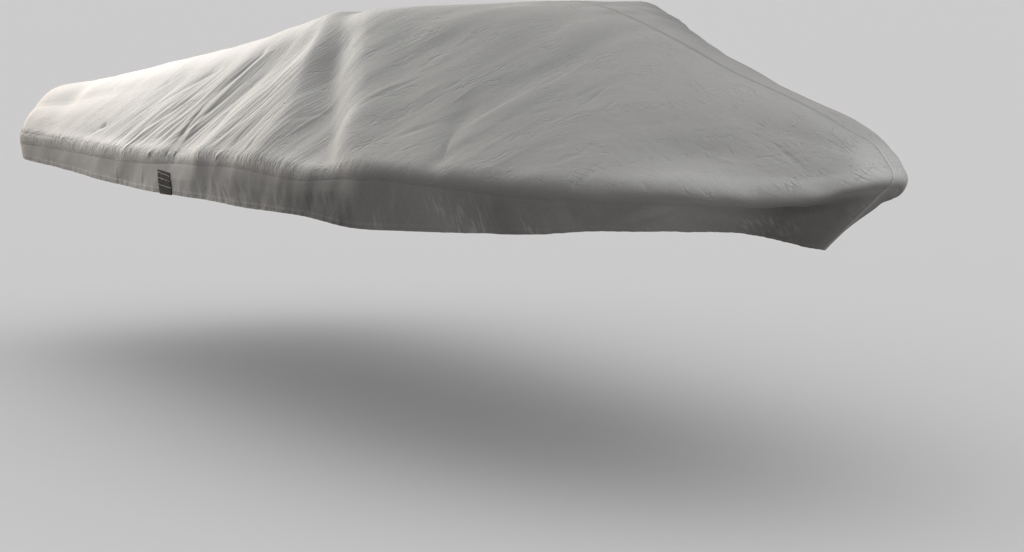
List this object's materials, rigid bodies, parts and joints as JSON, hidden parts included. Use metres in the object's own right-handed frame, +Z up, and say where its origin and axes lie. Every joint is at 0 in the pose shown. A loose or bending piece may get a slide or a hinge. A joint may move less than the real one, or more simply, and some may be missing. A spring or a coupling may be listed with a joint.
{
  "type": "fitted boat cover",
  "caption": "Hollow fitted cloth cover for a small motor boat, seamed down the middle, peaked over the windshield, with a turned-down hemmed skirt and a dark webbing patch on each side.",
  "frame": {"origin": "on the centreline, on the underside of the top, where the cover rests on the top of the boat's windshield frame", "axes": "+X towards the bow, +Y to port, +Z up"},
  "size_m": [5.7633, 1.959, 0.8524],
  "materials": {
    "cover_cloth": "matt woven polyester, warm grey, finely creased",
    "webbing": "matt near-black webbing with thin grey stitch rows"
  },
  "bodies": {
    "root": {"top_starboard": "cover_cloth", "top_port": "cover_cloth", "skirt_starboard": "cover_cloth", "skirt_port": "cover_cloth", "strap_starboard": "webbing", "strap_port": "webbing"}
  },
  "joints": []
}
